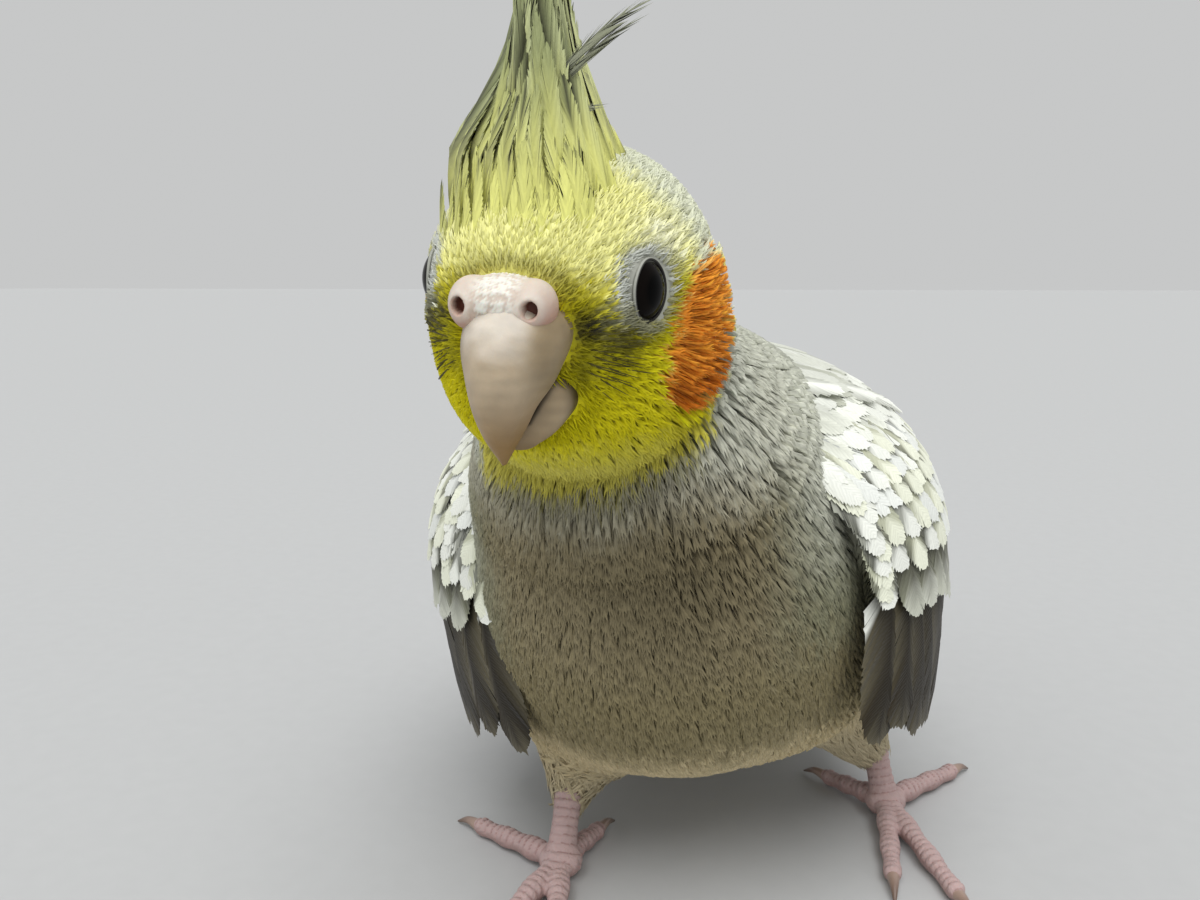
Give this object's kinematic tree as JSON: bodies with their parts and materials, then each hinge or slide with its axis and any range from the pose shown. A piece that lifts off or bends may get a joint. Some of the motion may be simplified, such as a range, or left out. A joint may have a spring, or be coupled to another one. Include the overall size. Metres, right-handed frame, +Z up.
{
  "type": "cockatiel model",
  "caption": "Life-size still cockatiel with a raised crest, folded wings a little low, standing on two feet with its tail tip on the floor.",
  "frame": {"origin": "on the floor, under the middle of the bird's outer box", "axes": "+Z up, -Y the way the bird faces, +Y along the tail, +X towards the bird's left side"},
  "size_m": [0.0904, 0.226, 0.1427],
  "materials": {
    "grey_feathers": "soft contour feathers, matt",
    "yellow_feathers": "soft face feathers, matt",
    "crest_feathers": "narrow crest feathers, matt",
    "wing_feathers": "smooth covert and flight feathers, faint sheen",
    "tail_feathers": "smooth tail feathers, faint sheen",
    "cere": "bare soft skin, matt",
    "bill_horn": "horn with a dull shine",
    "eye": "wet and clear over a near-black iris",
    "foot_skin": "scaly bare skin, matt",
    "claw_horn": "horn with a dull shine"
  },
  "bodies": {
    "root": {"torso": "grey_feathers", "neck": "grey_feathers", "head": "yellow_feathers", "crest": "crest_feathers", "cere": "cere", "bill_upper": "bill_horn", "bill_lower": "bill_horn", "tail": "tail_feathers", "eye_left": "eye", "eye_right": "eye", "wing_left": "wing_feathers", "wing_right": "wing_feathers", "thigh_left": "grey_feathers", "thigh_right": "grey_feathers", "shank_left": "foot_skin", "shank_right": "foot_skin", "foot_left": "foot_skin", "foot_right": "foot_skin", "claw_left_1": "claw_horn", "claw_left_2": "claw_horn", "claw_left_3": "claw_horn", "claw_left_4": "claw_horn", "claw_right_1": "claw_horn", "claw_right_2": "claw_horn", "claw_right_3": "claw_horn", "claw_right_4": "claw_horn"}
  },
  "joints": []
}
